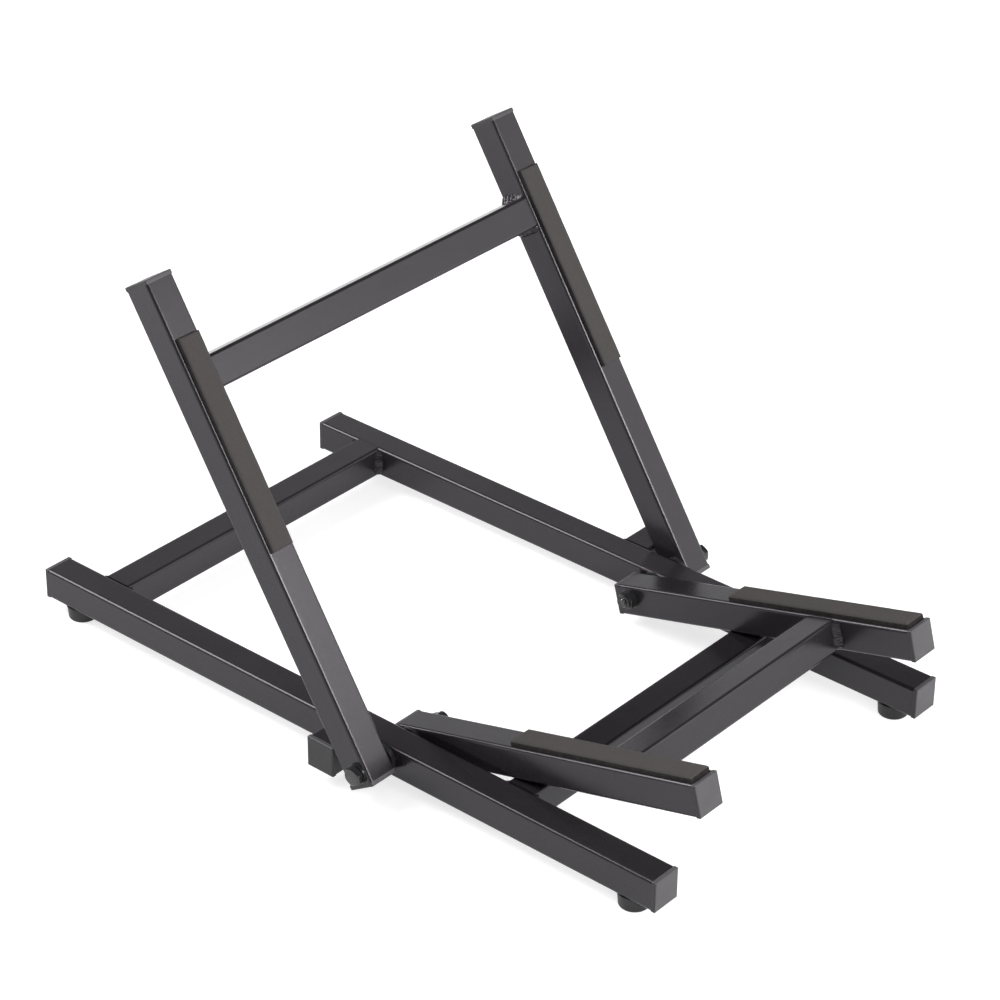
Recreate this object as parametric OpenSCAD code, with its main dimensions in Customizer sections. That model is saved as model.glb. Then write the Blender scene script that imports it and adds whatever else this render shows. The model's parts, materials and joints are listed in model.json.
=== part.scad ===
// Folding amplifier stand: a low welded base, a reclining backrest and two
// support arms, all of one square steel tube, turning on one common pivot axis.
// Millimetres. +Z up, the front of the stand towards -Y, the floor at z = 0.

/* [Tube stock] */
// Outer side of the square tube
tube = 25.4; // [22:0.1:32]
// Wall of the tube
wall = 1.5; // [1.2:0.1:2.5]
// Outer corner radius of the tube
corner_r = 2.5; // [2:0.25:4]

/* [Base] */
// Width over the outer faces of the two rails
base_width = 336; // [280:1:440]
// From the pivot axis forward to the front end of a rail's tube
rail_front = 244.5; // [200:0.5:300]
// From the pivot axis back to the rear end of a rail's tube
rail_rear = 355.5; // [345:0.5:440]
// From the rear end of a rail's tube to the rear crossbar
rear_bar_inset = 39; // [30:1:50]
// From an end of a rail's tube to the middle of the nearer foot
foot_inset = 24; // [21:0.5:50]

/* [Feet] */
// Height of a rubber foot
foot_h = 12; // [8:0.5:20]
// Diameter of a foot at its top rim
foot_d = 25.6; // [20:0.2:28]
// How much the foot narrows towards the floor
foot_taper = 2.6; // [1:0.2:4]
// Diameter of the recess under a foot
recess_d = 10; // [9:0.5:12]
// Rubber left above the recess
foot_web = 5; // [3:0.5:6]
// Shank diameter of a foot screw
foot_screw_d = 3.5; // [3:0.1:4]
// Head diameter of a foot screw
foot_screw_head_d = 7.6; // [6:0.2:8]
// Head height of a foot screw
foot_screw_head_h = 2.4; // [2:0.1:2.8]
// Length of a foot screw under its head
foot_screw_length = 13; // [9:0.5:16]

/* [Pivot] */
// Height of the pivot axis above the middle of the rails
pivot_rise = 3; // [0:0.5:5]
// Shank diameter of a pivot bolt
bolt_d = 8; // [6:0.5:8]
// Width across flats of the bolt head and the lock nut
hex_flats = 13; // [12:0.5:15]
// Height of the bolt head
head_h = 5.3; // [4:0.1:6.5]
// Height of the lock nut with its collar
nut_h = 8; // [7:0.1:10]
// Height of the lock nut's round collar
nut_collar_h = 2.4; // [1.5:0.1:3]
// Thickness of the locking ring in the collar
insert_t = 1.2; // [0.8:0.1:1.4]
// How far the bolt stands out of its nut
bolt_tip = 2; // [0.5:0.1:5]
// Outer diameter of a plain washer
washer_d = 16; // [15:0.5:20]
// Thickness of a plain washer
washer_t = 1.6; // [1:0.1:2]
// Outer diameter of a nylon spacer
spacer_d = 20; // [16:0.5:21]
// Space between a rail and an upright
outer_gap = 4; // [3:0.25:6]
// Space between a rail and an arm
inner_gap = 3; // [2:0.25:6]
// Radial play of a bolt in its holes
bore_play = 0.08; // [0.04:0.01:0.1]
// Radial play of a bolt in its washers and spacers
washer_play = 0.2; // [0.1:0.05:0.5]
// Play between a turning tube and the washer or spacer beside it
face_play = 0.1; // [0.05:0.05:0.3]

/* [Backrest] */
// Lean of the backrest behind the vertical, in degrees
lean = 32.4; // [20:0.1:38]
// From the pivot axis up to the top end of an upright's tube
upright_rise = 379; // [340:1:460]
// From the pivot axis down to the bottom end of an upright's tube
upright_tail = 8.5; // [8:0.5:14]
// How far an upright's middle lies behind the pivot axis
upright_setback = 3; // [0:0.5:4]
// From the pivot axis up to the backrest crossbar
back_bar_rise = 291; // [280:1:320]
// From the pivot axis up to the lower end of a back strip
back_strip_rise = 170.5; // [40:0.5:175]

/* [Support arms] */
// Tilt of the arms above the horizontal, in degrees
arm_tilt = 15.2; // [11:0.1:20]
// From the pivot axis to the front end of an arm's tube
arm_reach = 264; // [230:1:272]
// From the pivot axis to the rear end of an arm's tube
arm_tail = 12; // [11:0.5:16]
// How far an arm's middle lies below the pivot axis
arm_drop = 3; // [0:0.5:4]
// From the pivot axis to the arm crossbar
arm_bar_reach = 173.5; // [160:0.5:200]
// From the pivot axis to the rear end of an arm strip
arm_strip_reach = 98; // [30:1:99]

/* [Strips] */
// Width of a rubber strip
strip_width = 20; // [15:0.5:20]
// Length of a rubber strip
strip_length = 165; // [120:1:165]
// Thickness of a rubber strip
strip_t = 4.5; // [2:0.25:5]
// Rounding of a strip's long edges
strip_edge_r = 0.6; // [0.3:0.1:1.5]

/* [End caps] */
// Thickness of a cap's flange
cap_flange = 3.5; // [2.5:0.25:5]
// Rounding round the face of a cap
cap_edge_r = 1.2; // [0.5:0.1:2]
// Corner radius of a cap's flange, sharper than the tube's
cap_corner_r = 1; // [0.5:0.1:2]
// Depth of a cap's plug in an open tube
plug_depth = 14; // [8:1:16]
// Space between a short plug and the pivot bolt beside it
plug_to_bolt = 1.3; // [0.8:0.1:2]
// Wall of a cap's plug
plug_wall = 1.8; // [1:0.1:2.5]
// Play between a plug's ribs and the tube
plug_play = 0.05; // [0.02:0.01:0.1]
// How far the plug's ribs stand out of it
rib_h = 0.7; // [0.4:0.1:1]

/* [Welds and stops] */
// Leg of the weld beads along the crossbars
weld_leg = 4.5; // [3:0.25:6]
// Air left between a tube and the edge that it rests on
stop_gap = 0.25; // [0.1:0.05:0.5]

/* [Hidden] */
$fn = 64;
LEFT = -1;
RIGHT = 1;

// Tube section
half_tube = tube / 2;
bore_side = tube - 2 * wall;
bore_corner_r = max(corner_r - wall, 0.4);

// Heights
rail_mid_z = foot_h + half_tube;
rail_top_z = foot_h + tube;
pivot_z = rail_mid_z + pivot_rise;

// Distances of the members' faces from the middle plane, from the outside in
rail_out = base_width / 2;
rail_in = rail_out - tube;
upright_in = rail_out + outer_gap;
upright_out = upright_in + tube;
arm_out = rail_in - inner_gap;
arm_in = arm_out - tube;
foot_x = rail_out - half_tube;
upright_x = upright_in + half_tube;
arm_x = arm_in + half_tube;

// The plan's middle lies midway between the arm tips and the rails' rear caps
arm_tip_y = (arm_reach + cap_flange - cap_edge_r) * cos(arm_tilt)
          + (half_tube + arm_drop - cap_edge_r) * sin(arm_tilt) + cap_edge_r;
rail_tip_y = rail_front + cap_flange;
pivot_y = (max(arm_tip_y, rail_tip_y) - rail_rear - cap_flange) / 2;

// How far the middle of an edge's rounding, on top of the base, lies below the pivot axis
function edge_drop(r) = pivot_z - (rail_top_z - r);

// An upright's rear face rests on the upper front edge of its stop stub's end,
// where the cap's flange is sharper than the tube
stub_edge_r = min(corner_r, cap_corner_r);
stub_reach = half_tube + upright_setback + stub_edge_r + stop_gap;
stub_y = pivot_y - stub_edge_r + (stub_reach - edge_drop(stub_edge_r) * sin(lean)) / cos(lean);
stub_length = outer_gap + tube - cap_flange;

// An arm's underside rests on the upper rear edge of the front crossbar
bar_reach = half_tube + arm_drop + corner_r + stop_gap;
front_bar_rear_y = pivot_y + corner_r
                 - (bar_reach - edge_drop(corner_r) * cos(arm_tilt)) / sin(arm_tilt);
front_bar_y = front_bar_rear_y - tube;
rear_bar_y = pivot_y + rail_rear - rear_bar_inset - tube;

// Feet
front_foot_y = pivot_y - rail_front + foot_inset;
rear_foot_y = pivot_y + rail_rear - foot_inset;
foot_rim_h = 1.2;
foot_base_edge_r = 1.5;
foot_seat_z = foot_h - foot_web;

// Pivot stack, as distances from the middle plane
head_seat = upright_out + face_play + washer_t;
nut_seat = arm_in - face_play - washer_t;
bolt_end = nut_seat - nut_h - bolt_tip;
hex_corner_r = hex_flats / 2 / cos(30);
hex_top_r = 0.475 * hex_flats;
collar_d = 0.9 * hex_flats;
insert_lip = 0.3;
nut_play = 0.05;
nut_bore_d = bolt_d + 2 * nut_play;
insert_d = bolt_d + 2 * insert_t;
washer_bore_d = bolt_d + 2 * washer_play;

// Welds
stub_weld_leg = outer_gap - 0.5;
bead_length = tube - 2 * corner_r;

// Cap plug
plug_side = bore_side - 2 * plug_play - 2 * rib_h;
rib_t = 1;
rib_pitch = 3.5;
bolt_zone = bolt_d / 2 + plug_to_bolt;

STEEL = [0.26, 0.26, 0.27];
PLASTIC = [0.33, 0.33, 0.33];
RUBBER = [0.12, 0.12, 0.12];
STRIP = [0.33, 0.30, 0.28];
NYLON = [0.16, 0.16, 0.17];
FASTENER = [0.20, 0.20, 0.21];
INSERT = [0.45, 0.45, 0.47];

// ---- Frames of the three assemblies ----

// Origin on the pivot axis
module at_pivot()
    translate([0, pivot_y, pivot_z]) children();

// Along the backrest: +Z up the uprights, -Y out of their front faces
module backrest_frame()
    at_pivot() rotate([-lean, 0, 0]) children();

// Along the arms: +Z towards their tips, +Y out of their upper faces
module arm_frame()
    at_pivot() rotate([90 - arm_tilt, 0, 0]) children();

// Along the rails: +Z towards the front, +Y up, from the middle of their section
module rail_frame()
    translate([0, pivot_y, rail_mid_z]) rotate([90, 0, 0]) children();

// Along the pivot axis of one side: +Z outwards, from the middle plane
module pivot_axis(side)
    at_pivot() rotate([0, side * 90, 0]) children();

// ---- Stock ----

module rounded_square(side, r) {
    square([side, side - 2 * r], center = true);
    square([side - 2 * r, side], center = true);
    for (x = [-1, 1], y = [-1, 1])
        translate([x * (side / 2 - r), y * (side / 2 - r)]) circle(r);
}

module tube_section()
    difference() {
        rounded_square(tube, corner_r);
        rounded_square(bore_side, bore_corner_r);
    }

module square_tube(length)
    linear_extrude(length) tube_section();

// A crossbar between two faces, its section centred on the X axis
module crossbar(span)
    rotate([90, 0, 90]) linear_extrude(span, center = true) tube_section();

module pivot_hole(side)
    pivot_axis(side) cylinder(h = head_seat, d = bolt_d + 2 * bore_play);

// ---- End caps ----

// Side view of a flange, rounded along its outer face
module flange_profile() {
    translate([-half_tube, 0]) square([tube, cap_flange - cap_edge_r]);
    translate([-half_tube + cap_edge_r, 0]) square([tube - 2 * cap_edge_r, cap_flange]);
    for (x = [-1, 1])
        translate([x * (half_tube - cap_edge_r), cap_flange - cap_edge_r]) circle(cap_edge_r);
}

// Flange over a tube's end at z = 0, and a hollow ribbed plug inside the tube
module end_cap(depth) {
    intersection() {
        linear_extrude(cap_flange) rounded_square(tube, cap_corner_r);
        rotate([90, 0, 0]) linear_extrude(tube + 2, center = true) flange_profile();
        rotate([90, 0, 90]) linear_extrude(tube + 2, center = true) flange_profile();
    }
    difference() {
        union() {
            translate([0, 0, -depth]) linear_extrude(depth + cap_edge_r / 2)
                rounded_square(plug_side, bore_corner_r);
            for (z = [rib_t : rib_pitch : depth - rib_t])
                translate([0, 0, -z - rib_t]) linear_extrude(rib_t)
                    rounded_square(plug_side + 2 * rib_h, bore_corner_r);
        }
        translate([0, 0, -depth - 1]) linear_extrude(depth + 1)
            rounded_square(plug_side - 2 * plug_wall, bore_corner_r);
    }
}

// ---- Weld beads ----

// Slightly domed fillet filling an inner corner at the origin
module bead_section(leg) {
    set_in = 0.8 * leg;
    intersection() {
        square(leg);
        translate([-set_in, -set_in]) circle(norm([leg + set_in, set_in]));
    }
}

// Beads on both Y sides of a tube that stands on a face at x = 0 and runs to +X
module butt_beads(leg)
    for (turn = [0, 180])
        rotate([turn, 0, 0]) translate([0, half_tube, 0])
            linear_extrude(bead_length, center = true) bead_section(leg);

// Turns what runs to +X so that it runs to the RIGHT or to the LEFT
module running(side)
    rotate([0, 0, side == RIGHT ? 0 : 180]) children();

// ---- Base ----

module rail(side)
    color(STEEL) difference() {
        rail_frame() translate([side * foot_x, 0, -rail_rear]) square_tube(rail_front + rail_rear);
        pivot_hole(side);
        for (y = [front_foot_y, rear_foot_y])
            translate([side * foot_x, y, foot_h - wall])
                cylinder(h = 3 * wall, d = foot_screw_d + 2 * bore_play);
    }

module left_rail() rail(LEFT);
module right_rail() rail(RIGHT);

module base_crossbar(y)
    color(STEEL) translate([0, y + half_tube, rail_mid_z]) crossbar(2 * rail_in);

module rear_crossbar() base_crossbar(rear_bar_y);
module front_crossbar() base_crossbar(front_bar_y);

// Places its children at the open end of a stop stub, +Z outwards
module stub_end(side)
    translate([side * (rail_out + stub_length), stub_y + half_tube, rail_mid_z])
        rotate([0, side * 90, 0]) children();

module stop_stub(side)
    color(STEEL) stub_end(side) translate([0, 0, -stub_length]) square_tube(stub_length);

module left_stop_stub() stop_stub(LEFT);
module right_stop_stub() stop_stub(RIGHT);

module stub_cap(side) color(PLASTIC) stub_end(side) end_cap(plug_depth);

module left_stub_cap() stub_cap(LEFT);
module right_stub_cap() stub_cap(RIGHT);

module base_welds()
    color(STEEL) for (side = [LEFT, RIGHT]) {
        for (y = [front_bar_y, rear_bar_y])
            translate([side * rail_in, y + half_tube, rail_mid_z])
                running(-side) butt_beads(weld_leg);
        translate([side * rail_out, stub_y + half_tube, rail_mid_z])
            running(side) butt_beads(stub_weld_leg);
    }

// Cap on the front end of a rail, or on its rear end
module rail_cap(side, front)
    color(PLASTIC) rail_frame()
        translate([side * foot_x, 0, front ? rail_front : -rail_rear])
            rotate([front ? 0 : 180, 0, 0]) end_cap(plug_depth);

module left_rail_front_cap() rail_cap(LEFT, true);
module right_rail_front_cap() rail_cap(RIGHT, true);
module left_rail_rear_cap() rail_cap(LEFT, false);
module right_rail_rear_cap() rail_cap(RIGHT, false);

// ---- Feet ----

// Half section of a foot: rim, tapered body, rounded lower edge, screw recess
module foot_section() {
    rim_r = foot_d / 2;
    body_r = rim_r - foot_rim_h / 2;
    base_r = rim_r - foot_taper / 2;
    difference() {
        union() {
            translate([0, foot_h - foot_rim_h]) square([rim_r, foot_rim_h]);
            polygon([[0, foot_base_edge_r], [base_r, foot_base_edge_r],
                     [body_r, foot_h - foot_rim_h], [0, foot_h - foot_rim_h]]);
            square([base_r - foot_base_edge_r, foot_base_edge_r]);
            translate([base_r - foot_base_edge_r, foot_base_edge_r]) circle(foot_base_edge_r);
        }
        translate([-1, -1]) square([1 + recess_d / 2, foot_seat_z + 1]);
        translate([-1, 0]) square([1 + foot_screw_d / 2 + bore_play, foot_h + 1]);
    }
}

module foot(side, y)
    color(RUBBER) translate([side * foot_x, y, 0]) rotate_extrude() foot_section();

module front_left_foot() foot(LEFT, front_foot_y);
module front_right_foot() foot(RIGHT, front_foot_y);
module rear_left_foot() foot(LEFT, rear_foot_y);
module rear_right_foot() foot(RIGHT, rear_foot_y);

// Pan head below the rubber web, shank up into the rail
module foot_screw() {
    edge_r = foot_screw_head_h / 3;
    rotate_extrude() {
        translate([0, foot_seat_z - foot_screw_head_h + edge_r])
            square([foot_screw_head_d / 2, foot_screw_head_h - edge_r]);
        translate([0, foot_seat_z - foot_screw_head_h])
            square([foot_screw_head_d / 2 - edge_r, edge_r]);
        translate([foot_screw_head_d / 2 - edge_r, foot_seat_z - foot_screw_head_h + edge_r])
            circle(edge_r);
        translate([0, foot_seat_z]) square([foot_screw_d / 2, foot_screw_length]);
    }
}

module foot_screws()
    color(FASTENER) for (side = [LEFT, RIGHT], y = [front_foot_y, rear_foot_y])
        translate([side * foot_x, y, 0]) foot_screw();

// ---- Pivot ----

// Hexagon with its corners turned down at the outer end
module chamfered_hex(h) {
    chamfer_h = (hex_corner_r - hex_top_r) * tan(30);
    intersection() {
        cylinder(h = h, r = hex_corner_r, $fn = 6);
        rotate_extrude() polygon([[0, 0], [hex_corner_r, 0], [hex_corner_r, h - chamfer_h],
                                  [hex_top_r, h], [0, h]]);
    }
}

module pivot_bolt(side)
    color(FASTENER) pivot_axis(side) {
        translate([0, 0, head_seat]) chamfered_hex(head_h);
        translate([0, 0, bolt_end]) cylinder(h = head_seat - bolt_end, d = bolt_d);
    }

module left_pivot_bolt() pivot_bolt(LEFT);
module right_pivot_bolt() pivot_bolt(RIGHT);

// Places its children on a nut's seat, +Z towards the bolt's tip
module nut_place(side)
    pivot_axis(side) translate([0, 0, nut_seat]) rotate([180, 0, 0]) children();

module lock_nut(side)
    color(FASTENER) nut_place(side) difference() {
        union() {
            chamfered_hex(nut_h - nut_collar_h);
            cylinder(h = nut_h, d = collar_d);
        }
        translate([0, 0, -1]) cylinder(h = nut_h + 2, d = nut_bore_d);
        translate([0, 0, nut_h - nut_collar_h]) cylinder(h = nut_collar_h + 1, d = insert_d);
    }

module left_lock_nut() lock_nut(LEFT);
module right_lock_nut() lock_nut(RIGHT);

module ring(outer_d, inner_d, h)
    difference() {
        cylinder(h = h, d = outer_d);
        translate([0, 0, -1]) cylinder(h = h + 2, d = inner_d);
    }

// Locking rings in the nuts' collars
module nut_inserts()
    color(INSERT) for (side = [LEFT, RIGHT])
        nut_place(side) translate([0, 0, nut_h - nut_collar_h])
            ring(insert_d, nut_bore_d, nut_collar_h - insert_lip);

// One under each bolt head and one under each nut
module plain_washers()
    color(FASTENER) for (side = [LEFT, RIGHT], z = [head_seat - washer_t, nut_seat])
        pivot_axis(side) translate([0, 0, z]) ring(washer_d, washer_bore_d, washer_t);

// Between each rail and its upright, on the rail's side of the gap
module outer_spacers()
    color(NYLON) for (side = [LEFT, RIGHT])
        pivot_axis(side) translate([0, 0, rail_out])
            ring(spacer_d, washer_bore_d, outer_gap - face_play);

// Between each rail and its arm, on the rail's side of the gap
module inner_spacers()
    color(NYLON) for (side = [LEFT, RIGHT])
        pivot_axis(side) translate([0, 0, arm_out + face_play])
            ring(spacer_d, washer_bore_d, inner_gap - face_play);

// ---- Strips ----

// Along +Z from its lower end, on a face at y = 0, its wearing side towards +Y
module strip()
    color(STRIP) linear_extrude(strip_length) {
        translate([-strip_width / 2, 0]) square([strip_width, strip_t - strip_edge_r]);
        translate([-strip_width / 2 + strip_edge_r, 0])
            square([strip_width - 2 * strip_edge_r, strip_t]);
        for (x = [-1, 1])
            translate([x * (strip_width / 2 - strip_edge_r), strip_t - strip_edge_r])
                circle(strip_edge_r);
    }

// ---- Backrest ----

module upright(side)
    color(STEEL) difference() {
        backrest_frame() translate([side * upright_x, upright_setback, -upright_tail])
            square_tube(upright_tail + upright_rise);
        pivot_hole(side);
    }

module left_upright() upright(LEFT);
module right_upright() upright(RIGHT);

module backrest_crossbar()
    color(STEEL) backrest_frame()
        translate([0, upright_setback, back_bar_rise + half_tube])
            rotate([90, 0, 0]) crossbar(2 * upright_in);

module backrest_welds()
    color(STEEL) backrest_frame() for (side = [LEFT, RIGHT])
        translate([side * upright_in, upright_setback, back_bar_rise + half_tube])
            running(-side) rotate([90, 0, 0]) butt_beads(weld_leg);

module upright_cap(side, top)
    color(PLASTIC) backrest_frame()
        translate([side * upright_x, upright_setback, top ? upright_rise : -upright_tail])
            rotate([top ? 0 : 180, 0, 0]) end_cap(top ? plug_depth : upright_tail - bolt_zone);

module left_upright_top_cap() upright_cap(LEFT, true);
module right_upright_top_cap() upright_cap(RIGHT, true);
module left_upright_bottom_cap() upright_cap(LEFT, false);
module right_upright_bottom_cap() upright_cap(RIGHT, false);

module back_strip(side)
    backrest_frame() translate([side * upright_x, upright_setback - half_tube, back_strip_rise])
        rotate([0, 0, 180]) strip();

module left_back_strip() back_strip(LEFT);
module right_back_strip() back_strip(RIGHT);

// ---- Support arms ----

module arm(side)
    color(STEEL) difference() {
        arm_frame() translate([side * arm_x, -arm_drop, -arm_tail])
            square_tube(arm_tail + arm_reach);
        pivot_hole(side);
    }

module left_arm() arm(LEFT);
module right_arm() arm(RIGHT);

module arm_crossbar()
    color(STEEL) arm_frame() translate([0, -arm_drop, arm_bar_reach + half_tube])
        rotate([90, 0, 0]) crossbar(2 * arm_in);

module arm_welds()
    color(STEEL) arm_frame() for (side = [LEFT, RIGHT])
        translate([side * arm_in, -arm_drop, arm_bar_reach + half_tube])
            running(-side) rotate([90, 0, 0]) butt_beads(weld_leg);

module arm_cap(side, front)
    color(PLASTIC) arm_frame()
        translate([side * arm_x, -arm_drop, front ? arm_reach : -arm_tail])
            rotate([front ? 0 : 180, 0, 0])
                end_cap(front ? plug_depth : arm_tail - bolt_zone);

module left_arm_front_cap() arm_cap(LEFT, true);
module right_arm_front_cap() arm_cap(RIGHT, true);
module left_arm_rear_cap() arm_cap(LEFT, false);
module right_arm_rear_cap() arm_cap(RIGHT, false);

module arm_strip(side)
    arm_frame() translate([side * arm_x, half_tube - arm_drop, arm_strip_reach]) strip();

module left_arm_strip() arm_strip(LEFT);
module right_arm_strip() arm_strip(RIGHT);

// ---- Nodes ----

left_rail();
right_rail();
rear_crossbar();
front_crossbar();
left_stop_stub();
right_stop_stub();
base_welds();
left_rail_front_cap();
right_rail_front_cap();
left_rail_rear_cap();
right_rail_rear_cap();
left_stub_cap();
right_stub_cap();
front_left_foot();
front_right_foot();
rear_left_foot();
rear_right_foot();
foot_screws();
left_pivot_bolt();
right_pivot_bolt();
left_lock_nut();
right_lock_nut();
nut_inserts();
plain_washers();
outer_spacers();
inner_spacers();
left_upright();
right_upright();
backrest_crossbar();
backrest_welds();
left_upright_top_cap();
right_upright_top_cap();
left_upright_bottom_cap();
right_upright_bottom_cap();
left_back_strip();
right_back_strip();
left_arm();
right_arm();
arm_crossbar();
arm_welds();
left_arm_front_cap();
right_arm_front_cap();
left_arm_rear_cap();
right_arm_rear_cap();
left_arm_strip();
right_arm_strip();
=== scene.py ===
"""Finish, small modelled pieces, floor, lamps and camera for the folding amplifier stand."""

import json
import math
import random

import bmesh
import bpy
from bpy.props import FloatProperty, FloatVectorProperty, PointerProperty
from mathutils import Matrix, Vector


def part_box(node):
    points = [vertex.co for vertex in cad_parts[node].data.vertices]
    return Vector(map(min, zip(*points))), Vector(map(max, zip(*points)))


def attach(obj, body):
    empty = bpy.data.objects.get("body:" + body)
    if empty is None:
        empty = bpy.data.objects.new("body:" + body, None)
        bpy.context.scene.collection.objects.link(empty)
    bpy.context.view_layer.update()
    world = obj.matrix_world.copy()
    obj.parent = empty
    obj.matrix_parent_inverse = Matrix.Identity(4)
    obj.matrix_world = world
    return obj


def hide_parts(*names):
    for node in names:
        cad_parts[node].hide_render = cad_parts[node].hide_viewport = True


bl_info = {
    "name": "Folding amplifier stand",
    "version": (1, 0, 0),
    "blender": (4, 5, 0),
    "location": "3D View > Sidebar > Stand",
    "description": "Finishes a folding amplifier stand and sets it on a photo studio's floor",
    "category": "Object",
}

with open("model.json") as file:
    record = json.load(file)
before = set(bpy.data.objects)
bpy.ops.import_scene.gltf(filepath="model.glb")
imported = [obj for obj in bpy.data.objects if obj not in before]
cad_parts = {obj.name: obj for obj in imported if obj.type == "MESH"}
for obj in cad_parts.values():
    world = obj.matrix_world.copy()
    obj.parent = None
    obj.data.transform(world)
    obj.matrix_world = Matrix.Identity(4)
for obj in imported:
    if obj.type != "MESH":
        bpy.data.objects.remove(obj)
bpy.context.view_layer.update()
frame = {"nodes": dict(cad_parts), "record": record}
CAD = frame["nodes"]

MM = 0.001
SIDES = {"left": -1, "right": 1}
# Points closer than this lie in the same place
HAIR = 0.01 * MM
# A face whose normal has more than this share along an axis points that way
ALONG = 0.9

# Directions of the three frames, from the faces that carry the load
MOUNTS = {mount["name"]: mount for mount in frame["record"]["mounts"]}
ACROSS = Vector((1, 0, 0))
BACKWARDS = Vector((0, 1, 0))
UPWARDS = Vector((0, 0, 1))
BACK_OUT = Vector(MOUNTS["back_rest_left"]["axis"])
BACK_UP = BACK_OUT.cross(ACROSS)
ARM_OUT = Vector(MOUNTS["arm_rest_left"]["axis"])
ARM_AHEAD = ACROSS.cross(ARM_OUT)


def low(node):
    return Vector(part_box(node)[0])


def high(node):
    return Vector(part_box(node)[1])


def middle(node):
    return (low(node) + high(node)) / 2


RAIL_IN = low("right_rail").x
RAIL_OUT = high("right_rail").x
TUBE = RAIL_OUT - RAIL_IN
UPRIGHT_IN = low("right_upright").x
ARM_IN = low("right_arm").x


# ---- Settings ----


def colour(name, description, default):
    """A colour setting, in linear light."""
    return FloatVectorProperty(
        name=name,
        description=description,
        default=default,
        subtype="COLOR",
        size=3,
        min=0.0,
        max=1.0,
    )


def length(name, description, default_mm):
    """A length setting, given in millimetres and kept in metres."""
    return FloatProperty(
        name=name,
        description=description,
        default=default_mm * MM,
        unit="LENGTH",
        subtype="DISTANCE",
        min=0.0,
        precision=5,
    )


def angle(name, description, degrees):
    """An angle setting, given in degrees."""
    return FloatProperty(
        name=name,
        description=description,
        default=math.radians(degrees),
        unit="ROTATION",
        subtype="ANGLE",
    )


def share(name, description, default):
    """A setting from 0 to 1."""
    return FloatProperty(
        name=name,
        description=description,
        default=default,
        subtype="FACTOR",
        min=0.0,
        max=1.0,
    )


class StandFinish(bpy.types.PropertyGroup):
    """Colours and textures of the stand's surfaces."""

    coat: colour("Powder coat", "Colour of the coated steel", (0.0205, 0.0178, 0.0212))
    coat_roughness: share("Coat roughness", "Roughness of the powder coat", 0.22)
    coat_grain: length("Coat grain", "Size of the coat's fine bumps", 0.45)
    plastic: colour("Cap plastic", "Colour of the end caps", (0.085, 0.0805, 0.0865))
    plastic_roughness: share("Cap roughness", "Roughness of the end caps", 0.42)
    foot: colour("Foot rubber", "Colour of the rubber feet", (0.014, 0.014, 0.014))
    strip: colour("Strip rubber", "Main colour of the rubber strips", (0.061, 0.0575, 0.0555))
    strip_stain: colour("Strip stain", "Colour of the strips' stains", (0.068, 0.0575, 0.0575))
    # Painted shade: the dark colour given to the strips' cut sides
    strip_side_shade: colour("Strip side", "Colour of the strips' cut sides", (0.021, 0.019, 0.018))
    zinc: colour("Black zinc", "Colour of the bolts, nuts and screws", (0.016, 0.016, 0.017))
    nylon: colour("Spacer nylon", "Colour of the spacers", (0.016, 0.016, 0.017))
    insert: colour("Locking ring", "Colour of the nuts' locking rings", (0.09, 0.09, 0.095))


class StandPieces(bpy.types.PropertyGroup):
    """Sizes of the weld beads, bolts, screws and strips."""

    bead_leg: length("Weld leg", "Leg of the weld beads along the crossbars", 4.6)
    stub_bead_leg: length("Stub weld leg", "Leg of the weld beads on the stop stubs", 3.5)
    bead_edge: length("Weld end", "Distance from a bead's end to the tube's outer face", 0.9)
    bead_ripple: length("Weld ripple", "Distance from ripple to ripple", 1.7)
    bead_wave: length("Weld wave", "Height of the ripples", 0.22)
    bead_swell: FloatProperty(
        name="Weld swell",
        description="How much taller the right upright's upper bead is at its rear end",
        default=1.1,
        min=0.0,
        max=1.8,
    )
    bead_lumps: length("Weld lumps", "Height of the beads' uneven lumps", 0.9)
    bolt: length("Bolt", "Diameter of the pivot bolts", 8)
    bolt_flats: length("Bolt head", "Width of the pivot bolts' heads across their flats", 13)
    bolt_edge: length("Bolt edge", "Rounding of the bolt heads' edges", 0.25)
    bolt_collar: length("Bolt collar", "Height of the round face under the bolt heads", 0.4)
    thread: length("Thread", "Pitch of the bolts' thread", 1.25)
    screw: length("Screw", "Diameter of the foot screws", 3.5)
    screw_head: length("Screw head", "Diameter of the foot screws' heads", 7.6)
    screw_head_height: length("Screw head height", "Height of the foot screws' heads", 2.4)
    screw_cross: length("Screw cross", "Width of the cross in the foot screws' heads", 4.2)
    strip_edge: length("Strip edge", "Rounding of the rubber strips' edges", 1.9)
    strip_waver: length("Strip waver", "How far the strips' cut edges waver", 0.35)
    strip_skew: angle("Strip skew", "How crookedly the strips are stuck on", 0.3)


class StandStage(bpy.types.PropertyGroup):
    """Camera, lamps and floor."""

    camera_place: FloatVectorProperty(
        name="Camera place",
        description="Where the camera stands",
        default=(-1.6149, -1.3842, 1.4196),
        subtype="TRANSLATION",
        unit="LENGTH",
        size=3,
    )
    azimuth: angle("Azimuth", "Direction of view, from straight back towards the right", 49.63)
    elevation: angle("Elevation", "How far the camera looks down", 30.87)
    roll: angle("Roll", "Turn of the camera about its line of view", 0.64)
    lens: FloatProperty(
        name="Lens",
        description="Focal length for a 36 mm wide picture",
        default=120.05,
        unit="CAMERA",
        min=10.0,
    )
    floor: colour("Floor", "Colour of the floor", (0.5, 0.5, 0.5))
    floor_size: length("Floor size", "Width of the floor", 9000)


# ---- Materials ----


def work_out(tree, operation, *values):
    """A maths node over outputs or fixed numbers."""
    node = tree.nodes.new("ShaderNodeMath")
    node.operation = operation
    for value, slot in zip(values, node.inputs):
        if isinstance(value, bpy.types.NodeSocket):
            tree.links.new(value, slot)
        else:
            slot.default_value = value
    return node.outputs[0]


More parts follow.
